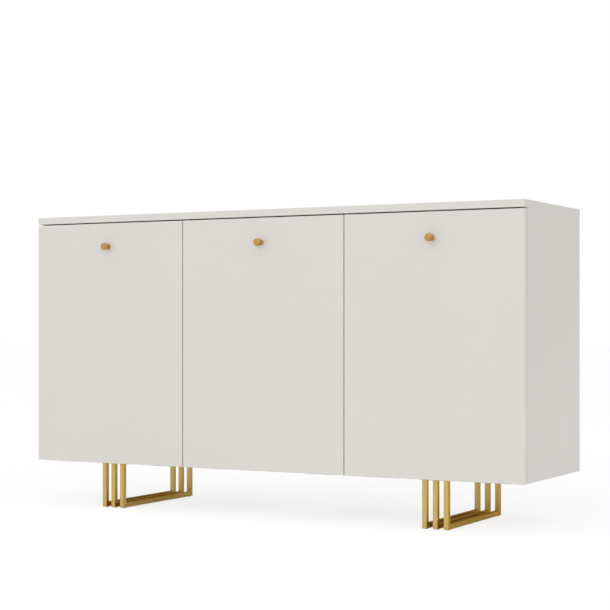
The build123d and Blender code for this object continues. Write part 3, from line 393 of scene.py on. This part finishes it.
def model_sled_frame(low, high):
    """A mitred U of square tube inside the box of its CAD node."""
    deselect_all()
    bar_centre = Vector(((low.x + high.x) / 2, (low.y + high.y) / 2, low.z + TUBE / 2))
    bpy.ops.mesh.primitive_cube_add(size=1, location=bar_centre)
    piece = bpy.context.object
    piece.scale = (TUBE, high.y - low.y, TUBE)
    settle(piece)
    bpy.ops.object.mode_set(mode="EDIT")
    for y in (low.y + TUBE, high.y - TUBE):
        cut_plane((0, y, 0), (0, 1, 0))

    def over_an_end(centre, normal):
        near_end = centre.y < low.y + TUBE or centre.y > high.y - TUBE
        return normal.z > FACES_UP and near_end

    ends = select_faces(piece, over_an_end)
    rise = high.z - (low.z + TUBE)
    bpy.ops.mesh.extrude_region_move(TRANSFORM_OT_translate={"value": (0, 0, rise)})
    for y, lean in ((low.y, 1), (high.y, -1)):
        for offset in (-SEAM_WIDTH / 2, SEAM_WIDTH / 2):
            cut_plane((0, y + lean * offset * math.sqrt(2), low.z), (0, lean, -1))
    bpy.ops.object.mode_set(mode="OBJECT")
    rounding = piece.modifiers.new("drawn_edges", "BEVEL")
    rounding.width = EDGE_ROUND
    rounding.segments = EDGE_SEGMENTS
    rounding.limit_method = "ANGLE"
    rounding.angle_limit = SHARP_CORNER
    bpy.ops.object.modifier_apply(modifier=rounding.name)
    bpy.ops.object.shade_smooth_by_angle(angle=TUBE_SMOOTHING)
    flat_faces = piece.modifiers.new("flat_faces", "WEIGHTED_NORMAL")
    flat_faces.keep_sharp = True
    bpy.ops.object.modifier_apply(modifier=flat_faces.name)
    print("sled frame: ends raised", ends, "faces", len(piece.data.polygons))
    return piece


first_low, first_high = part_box("left_outer_leg_frame")
sled = model_sled_frame(first_low, first_high)

# %% [markdown]
# The six frames are alike, so the first is copied sideways, each copy with its own mesh, and each
# stands for its CAD node.

# %% Copy the frame to its six places
def copy_to(piece, name, offset):
    """A copy with its own mesh, moved inside the mesh so that the object stays at the origin."""
    twin = piece.copy()
    twin.data = piece.data.copy()
    twin.name = name
    twin.data.name = name
    for vertex in twin.data.vertices:
        vertex.co += offset
    bpy.context.scene.collection.objects.link(twin)
    return twin


def place_piece(piece, body, material, replaced):
    """Finish, body, slot and the CAD node that a new piece stands for."""
    piece.data.materials.append(material)
    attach(piece, body)
    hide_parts(replaced)


first_centre = centre_of("left_outer_leg_frame")
for side in SIDES:
    for frame_name in FRAME_NAMES:
        node_name = f"{side}_{frame_name}_leg_frame"
        twin = copy_to(sled, f"{side}_{frame_name}_sled_tube", centre_of(node_name) - first_centre)
        place_piece(twin, "cabinet", gold_plating, node_name)
bpy.data.objects.remove(sled)
print("sled frames placed:", len(SIDES) * len(FRAME_NAMES))

# %% [markdown]
# A knob is turned on a lathe: a small foot against the door, a waisted neck, and a flat round head
# with a softened rim. It is brass, polished on the lathe and lacquered, so its sheen is brighter and
# closer than the plated legs'. The tool leaves rings on the face: every point keeps its distance
# from the knob's axis in an attribute, and the brass reads its rings from that. They are drawn half
# a millimetre apart, coarser than a fine tool leaves them, so that they show.

# %% Turned brass
RING_PITCH = 0.5 * MM
RING_DEPTH = 0.012 * MM
STAINS_PER_METRE = 160.0


def make_turned_brass():
    """Lacquered brass with rings around the knob's axis."""
    material, tree = new_material("turned_lacquered_brass")
    reach = add(tree, "ShaderNodeAttribute", {"attribute_name": "lathe_radius"})
    rings = add(tree, "ShaderNodeMath", {"operation": "MULTIPLY"},
                {0: reach.outputs["Fac"], 1: 2 * math.pi / RING_PITCH})
    wave = add(tree, "ShaderNodeMath", {"operation": "SINE"}, {0: rings.outputs[0]})
    place = add(tree, "ShaderNodeTexCoord").outputs["Object"]
    stain = add(tree, "ShaderNodeTexNoise", inputs={
        "Vector": place,
        "Scale": STAINS_PER_METRE,
        "Detail": 4.0,
    })
    tone = add(tree, "ShaderNodeMix", {"data_type": "RGBA"}, {
        "Factor": stain.outputs["Fac"],
        "A": linear("B98D48"),
        "B": linear("D2A762"),
    })
    gloss = add(tree, "ShaderNodeMapRange", inputs={
        "Value": stain.outputs["Fac"],
        "To Min": 0.16,
        "To Max": 0.26,
    })
    bump = add(tree, "ShaderNodeBump", inputs={
        "Height": wave.outputs[0],
        "Strength": 0.5,
        "Distance": RING_DEPTH,
    })
    shader = add(tree, "ShaderNodeBsdfPrincipled", inputs={
        "Base Color": tone.outputs["Result"],
        "Metallic": 1.0,
        "Roughness": gloss.outputs["Result"],
        "Normal": bump.outputs["Normal"],
    })
    finish_material(tree, shader)
    return material


turned_brass = make_turned_brass()
print("brass rings every", round(RING_PITCH / MM, 2), "mm")

# %% [markdown]
# The natural way to model a turned knob is the lathe's own: draw half the outline and spin it. The
# outline needs only a foot, a waist that flares by a square law towards both ends, a straight head
# and a quarter circle for the rim. The face is dished by a hair, as a facing cut leaves it.

# %% The knob's outline
FOOT_RADIUS = 7.5 * MM
FOOT_EASE = 0.4 * MM
FOOT_TOP = 1.6 * MM
WAIST_RADIUS = 5.8 * MM
WAIST_HEIGHT = 6.6 * MM
FLARE_RADIUS = 9.0 * MM
FLARE_TOP = 16.0 * MM
HEAD_RADIUS = 9.4 * MM
HEAD_BOTTOM = 16.9 * MM
KNOB_HEIGHT = 24.0 * MM
RIM_ROUND = 3.3 * MM
DISH_DEPTH = 0.15 * MM
FLARE_STEPS = 6
RIM_STEPS = 5


def knob_outline():
    """Half the outline as (radius, height) pairs, from the foot's middle to the face's middle."""
    points = [(0, 0), (FOOT_RADIUS - FOOT_EASE, 0), (FOOT_RADIUS, FOOT_EASE)]
    for step in range(-FLARE_STEPS, FLARE_STEPS + 1):
        end_radius, end_height = (FLARE_RADIUS, FLARE_TOP) if step > 0 else (FOOT_RADIUS, FOOT_TOP)
        share = abs(step) / FLARE_STEPS
        points.append((WAIST_RADIUS + (end_radius - WAIST_RADIUS) * share ** 2,
                       WAIST_HEIGHT + (end_height - WAIST_HEIGHT) * share))
    points.append((HEAD_RADIUS, HEAD_BOTTOM))
    for step in range(RIM_STEPS + 1):
        turn = math.radians(90) * step / RIM_STEPS
        points.append((HEAD_RADIUS - RIM_ROUND * (1 - math.cos(turn)),
                       KNOB_HEIGHT - RIM_ROUND * (1 - math.sin(turn))))
    points.append((0, KNOB_HEIGHT - DISH_DEPTH))
    return points


print("knob outline points:", len(knob_outline()))

# %% [markdown]
# A tiny plane merged to one point starts the outline, which is drawn out point by point and spun
# about the knob's axis. Spinning leaves doubles where the last step meets the first and at both
# ends of the axis, so they are merged before the normals are set to face outwards.

# %% Spin one knob
LATHE_STEPS = 48
DOUBLES_WITHIN = 0.02 * MM
KNOB_SMOOTHING = math.radians(40)


def model_knob(face_centre):
    """A knob whose foot is centred on a point of the door's face, standing out towards -Y."""
    deselect_all()
    bpy.ops.mesh.primitive_plane_add(size=MM, location=face_centre)
    piece = bpy.context.object
    settle(piece)
    bpy.ops.object.mode_set(mode="EDIT")
    bpy.ops.mesh.select_mode(type="VERT")
    bpy.ops.mesh.select_all(action="SELECT")
    bpy.ops.mesh.merge(type="CENTER")
    outline = knob_outline()
    for (radius, height), (next_radius, next_height) in zip(outline, outline[1:]):
        step = (next_radius - radius, height - next_height, 0)
        bpy.ops.mesh.extrude_region_move(TRANSFORM_OT_translate={"value": step})
    bpy.ops.mesh.select_all(action="SELECT")
    bpy.ops.mesh.spin(steps=LATHE_STEPS, angle=2 * math.pi, center=face_centre, axis=(0, 1, 0))
    bpy.ops.mesh.select_all(action="SELECT")
    bpy.ops.mesh.remove_doubles(threshold=DOUBLES_WITHIN)
    bpy.ops.mesh.normals_make_consistent(inside=False)
    bpy.ops.object.mode_set(mode="OBJECT")
    bpy.ops.object.shade_smooth_by_angle(angle=KNOB_SMOOTHING)
    reach = piece.data.attributes.new("lathe_radius", "FLOAT", "POINT")
    for vertex, value in zip(piece.data.vertices, reach.data):
        away = vertex.co - face_centre
        value.value = math.hypot(away.x, away.z)
    return piece


def knob_seat(bay):
    """The point of a door's face that its knob stands on."""
    low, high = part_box(f"{bay}_knob")
    return Vector(((low.x + high.x) / 2, high.y, (low.z + high.z) / 2))


first_seat = knob_seat("left")
knob = model_knob(first_seat)
for bay in BAYS:
    twin = copy_to(knob, f"{bay}_turned_knob", knob_seat(bay) - first_seat)
    place_piece(twin, f"{bay}_drop_door", turned_brass, f"{bay}_knob")
print("knob faces:", len(knob.data.polygons))
bpy.data.objects.remove(knob)

# %% [markdown]
# The small steel fittings are bright zinc plate: grey with a cold sheen, slightly mottled where the
# plating grew. Hinge leaves, stays, brackets, pins and screws all share it. Die-cast zinc, for the
# cams, is duller and grainy. Both are one recipe with other tones, gloss and grain.

# %% Zinc-plated steel and die-cast zinc
MOTTLE_HEIGHT = 0.02 * MM


def make_plain_metal(name, dark, light, rough_low, rough_high, mottle_mm):
    """A bare metal whose tone and gloss wander over patches of a real size."""
    material, tree = new_material(name)
    place = add(tree, "ShaderNodeTexCoord").outputs["Object"]
    mottle = add(tree, "ShaderNodeTexNoise", inputs={
        "Vector": place,
        "Scale": 1 / (mottle_mm * MM),
        "Detail": 5.0,
        "Roughness": 0.6,
    })
    tone = add(tree, "ShaderNodeMix", {"data_type": "RGBA"}, {
        "Factor": mottle.outputs["Fac"],
        "A": linear(dark),
        "B": linear(light),
    })
    gloss = add(tree, "ShaderNodeMapRange", inputs={
        "Value": mottle.outputs["Fac"],
        "To Min": rough_low,
        "To Max": rough_high,
    })
    bump = add(tree, "ShaderNodeBump", inputs={
        "Height": mottle.outputs["Fac"],
        "Strength": 0.2,
        "Distance": MOTTLE_HEIGHT,
    })
    shader = add(tree, "ShaderNodeBsdfPrincipled", inputs={
        "Base Color": tone.outputs["Result"],
        "Metallic": 1.0,
        "Roughness": gloss.outputs["Result"],
        "Normal": bump.outputs["Normal"],
    })
    finish_material(tree, shader)
    return material


zinc_plate = make_plain_metal("zinc_plated_steel", "A9ADB0", "C9CCCC",
                              rough_low=0.24, rough_high=0.40, mottle_mm=6)
cast_zinc = make_plain_metal("die_cast_zinc", "8E9092", "A9AAAA",
                             rough_low=0.42, rough_high=0.60, mottle_mm=1.5)
print("bare metals:", zinc_plate.name, "and", cast_zinc.name)

# %% [markdown]
# Nearly every small fitting is zinc-plated, so the list of them is written once. The doors carry the
# same fittings in each bay, and a loop over the bays names them all.

# %% Fittings that wear zinc
ZINC_PLATED = ["shelf_pins", "cam_bolts", "partition_screws", "back_panel_screws",
               "cabinet_hinge_leaves", "hinge_pins", "cabinet_fitting_screws", "stay_studs",
               "leg_plate_screws"]
DOOR_FITTINGS = ("door_hinge_leaves", "stay_brackets", "stay_rivets", "strike_plate", "door_screws",
                 "stay_arms")
ZINC_PLATED += [f"{bay}_{part}" for bay in BAYS for part in DOOR_FITTINGS]
for name in ZINC_PLATED:
    wear(name, zinc_plate)
wear("cam_locks", cast_zinc)
print("zinc-plated nodes:", len(ZINC_PLATED))

# %% [markdown]
# The rest are small mouldings and one piece of wood. Moulded nylon and soft urethane let a little
# light in and scatter it, so they get some subsurface light. Their moulds leave a spark-eroded
# grain, drawn at 0.6 mm, coarser than it is, so that it shows. The catch's magnet is black sintered
# ferrite, and the dowels are beech, whose grain is a slightly distorted noise, because only the end
# of a peg would ever show.

# %% Plastics, ferrite and beech
SPARK_GRAIN = 0.6 * MM
SPARK_DEPTH = 0.02 * MM
LIGHT_REACH = 1.5 * MM
BEECH_GRAIN = 1.2 * MM


def make_moulded(name, colour_low, colour_high, roughness, scatter):
    """A moulded plastic or rubber with a fine spark-eroded texture."""
    material, tree = new_material(name)
    place = add(tree, "ShaderNodeTexCoord").outputs["Object"]
    spark = add(tree, "ShaderNodeTexNoise", inputs={
        "Vector": place,
        "Scale": 1 / SPARK_GRAIN,
        "Detail": 3.0,
    })
    tone = add(tree, "ShaderNodeMix", {"data_type": "RGBA"}, {
        "Factor": spark.outputs["Fac"],
        "A": linear(colour_low),
        "B": linear(colour_high),
    })
    bump = add(tree, "ShaderNodeBump", inputs={
        "Height": spark.outputs["Fac"],
        "Strength": 0.3,
        "Distance": SPARK_DEPTH,
    })
    shader = add(tree, "ShaderNodeBsdfPrincipled", inputs={
        "Base Color": tone.outputs["Result"],
        "Roughness": roughness,
        "Subsurface Weight": scatter,
        "Subsurface Scale": LIGHT_REACH,
        "Normal": bump.outputs["Normal"],
    })
    finish_material(tree, shader)
    return material


def make_beech():
    """Raw beech for pegs of a few millimetres."""
    material, tree = new_material("turned_beech")
    place = add(tree, "ShaderNodeTexCoord").outputs["Object"]
    grain = add(tree, "ShaderNodeTexNoise", inputs={
        "Vector": place,
        "Scale": 1 / BEECH_GRAIN,
        "Detail": 5.0,
        "Distortion": 0.4,
    })
    tone = add(tree, "ShaderNodeMix", {"data_type": "RGBA"}, {
        "Factor": grain.outputs["Fac"],
        "A": linear("B98A5C"),
        "B": linear("D9B48A"),
    })
    shader = add(tree, "ShaderNodeBsdfPrincipled", inputs={
        "Base Color": tone.outputs["Result"],
        "Roughness": 0.6,
    })
    finish_material(tree, shader)
    return material


# each node's material, dark tone, light tone, roughness and share of scattered light
MOULDED = {
    "catch_housings": ("moulded_white_abs", "D6D5D0", "E2E1DC", 0.45, 0.1),
    "foot_glides": ("moulded_nylon", "CFCDC6", "DEDCD6", 0.5, 0.2),
    "door_bumpers": ("clear_urethane", "C9C8C2", "E4E3DE", 0.2, 0.5),
    "catch_magnets": ("sintered_ferrite", "1B1A1A", "2A2929", 0.55, 0.0),
}
for name, recipe in MOULDED.items():
    wear(name, make_moulded(*recipe))
wear("dowels", make_beech())
print("small mouldings and dowels done")

# %% [markdown]
# The studio stands on pale paper. The paper and the backdrop are exposed to white, as a product
# studio lights them apart from the object, so only a faint contact shadow is left.

# %% Floor
FLOOR_SIDE = 60.0
PULP_PER_METRE = 40.0
PAPER_GLOW = 0.7
PAPER_EXPOSURE = 1.1


def make_paper():
    """Matte white paper that the camera sees brighter than it lights the cabinet."""
    material, tree = new_material("matte_paper")
    place = add(tree, "ShaderNodeTexCoord").outputs["Object"]
    pulp = add(tree, "ShaderNodeTexNoise", inputs={
        "Vector": place,
        "Scale": PULP_PER_METRE,
        "Detail": 4.0,
    })
    tone = add(tree, "ShaderNodeMix", {"data_type": "RGBA"}, {
        "Factor": pulp.outputs["Fac"],
        "A": linear("FAFAF9"),
        "B": linear("FFFFFF"),
    })
    paper = add(tree, "ShaderNodeBsdfPrincipled", inputs={
        "Base Color": tone.outputs["Result"],
        "Roughness": 0.9,
    })
    glow = add(tree, "ShaderNodeEmission", inputs={
        "Color": linear("FFFFFF"),
        "Strength": PAPER_EXPOSURE,
    })
    seen = add(tree, "ShaderNodeLightPath").outputs["Is Camera Ray"]
    share = add(tree, "ShaderNodeMath", {"operation": "MULTIPLY"}, {0: seen, 1: PAPER_GLOW})
    exposed = add(tree, "ShaderNodeMixShader", inputs={
        0: share.outputs[0],
        1: paper.outputs[0],
        2: glow.outputs[0],
    })
    finish_material(tree, exposed)
    return material


deselect_all()
bpy.ops.mesh.primitive_plane_add(size=FLOOR_SIDE, location=(0, 0, 0))
floor = bpy.context.object
floor.name = "paper_floor"
floor.data.materials.append(make_paper())
print("paper floor:", round(floor.dimensions.x, 1), "m square")

# %% [markdown]
# The light is a white dome. It is dimmer behind the cabinet, so whatever faces sideways falls into
# soft shade, and the gold shows deep tones where it mirrors the back of the room. The camera alone
# sees an even white backdrop in its place.

# %% Dome
DOME_STRENGTH = 0.97
DARK_BACK = 0.37
FADE_START = -0.1
FADE_END = 0.7
world = bpy.data.worlds.new("studio_dome")
bpy.context.scene.world = world
world.use_nodes = True
sky = world.node_tree
sky.nodes.clear()
look = add(sky, "ShaderNodeTexCoord").outputs["Generated"]
backwards = add(sky, "ShaderNodeSeparateXYZ", inputs={"Vector": look}).outputs["Y"]
shade = add(sky, "ShaderNodeMapRange", {"interpolation_type": "SMOOTHSTEP"}, {
    "Value": backwards,
    "From Min": FADE_START,
    "From Max": FADE_END,
    "To Min": DOME_STRENGTH,
    "To Max": DARK_BACK,
})
dome = add(sky, "ShaderNodeBackground", inputs={
    "Color": linear("FFFFFF"),
    "Strength": shade.outputs[0],
})
backdrop = add(sky, "ShaderNodeBackground", inputs={"Color": linear("FFFFFF"), "Strength": 1.0})
seen = add(sky, "ShaderNodeLightPath").outputs["Is Camera Ray"]
room = add(sky, "ShaderNodeMixShader", inputs={0: seen, 1: dome.outputs[0], 2: backdrop.outputs[0]})
add(sky, "ShaderNodeOutputWorld", inputs={"Surface": room.outputs[0]})
print("dome from", DOME_STRENGTH, "in front to", DARK_BACK, "behind")

# %% [markdown]
# One broad softbox at the front adds the sheen on the doors. A low one on the right, a little behind,
# lights the cabinet's side and the outermost tubes, and leaves the tubes behind them in each other's
# shade. Both point at the middle of the cabinet and are hidden from the camera, and the plain
# Standard view keeps the paint's off-white true.

# %% Softboxes
LAMP_AIM = Vector((0, 0, 0.4))


def hang_softbox(name, place, width, height, watts):
    """A rectangular softbox that points at the cabinet and stays out of the picture."""
    lamp_data = bpy.data.lights.new(name, "AREA")
    lamp_data.shape = "RECTANGLE"
    lamp_data.size = width
    lamp_data.size_y = height
    lamp_data.energy = watts
    lamp = bpy.data.objects.new(name, lamp_data)
    lamp.location = place
    lamp.rotation_euler = (LAMP_AIM - place).to_track_quat("-Z", "Y").to_euler()
    lamp.visible_camera = False
    bpy.context.scene.collection.objects.link(lamp)


hang_softbox("front_softbox", Vector((0.5, -3.8, 2.6)), width=2.4, height=1.6, watts=14.0)
hang_softbox("side_softbox", Vector((2.6, 1.3, 0.5)), width=1.6, height=1.0, watts=5.0)
bpy.context.scene.view_settings.view_transform = "Standard"
print("softboxes hung:", len([lamp for lamp in bpy.data.lights if lamp.type == "AREA"]))
